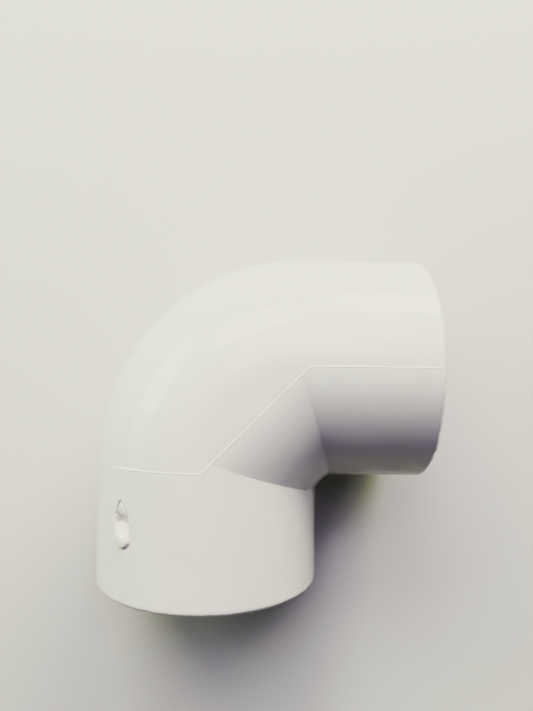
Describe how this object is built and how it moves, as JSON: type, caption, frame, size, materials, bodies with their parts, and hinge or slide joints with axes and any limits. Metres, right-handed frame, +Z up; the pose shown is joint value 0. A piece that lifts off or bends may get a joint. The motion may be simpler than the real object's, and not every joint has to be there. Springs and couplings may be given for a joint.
{
  "type": "pvc elbow fitting",
  "caption": "Ninety-degree PVC pipe elbow with a tapered slip socket and a pipe stop at each end, a swept outer bend and a mitred inner throat.",
  "frame": {"origin": "bottom centre of the elbow's box, with the elbow lying flat and both socket axes level", "axes": "+Z up; the side socket opens towards +X and the lower socket opens towards -Y"},
  "size_m": [0.102, 0.102, 0.0698],
  "materials": {
    "white_pvc": "semi-gloss as moulded"
  },
  "bodies": {
    "root": {"lower_socket": "white_pvc", "side_socket": "white_pvc", "outer_bend": "white_pvc", "inner_throat": "white_pvc"}
  },
  "joints": []
}
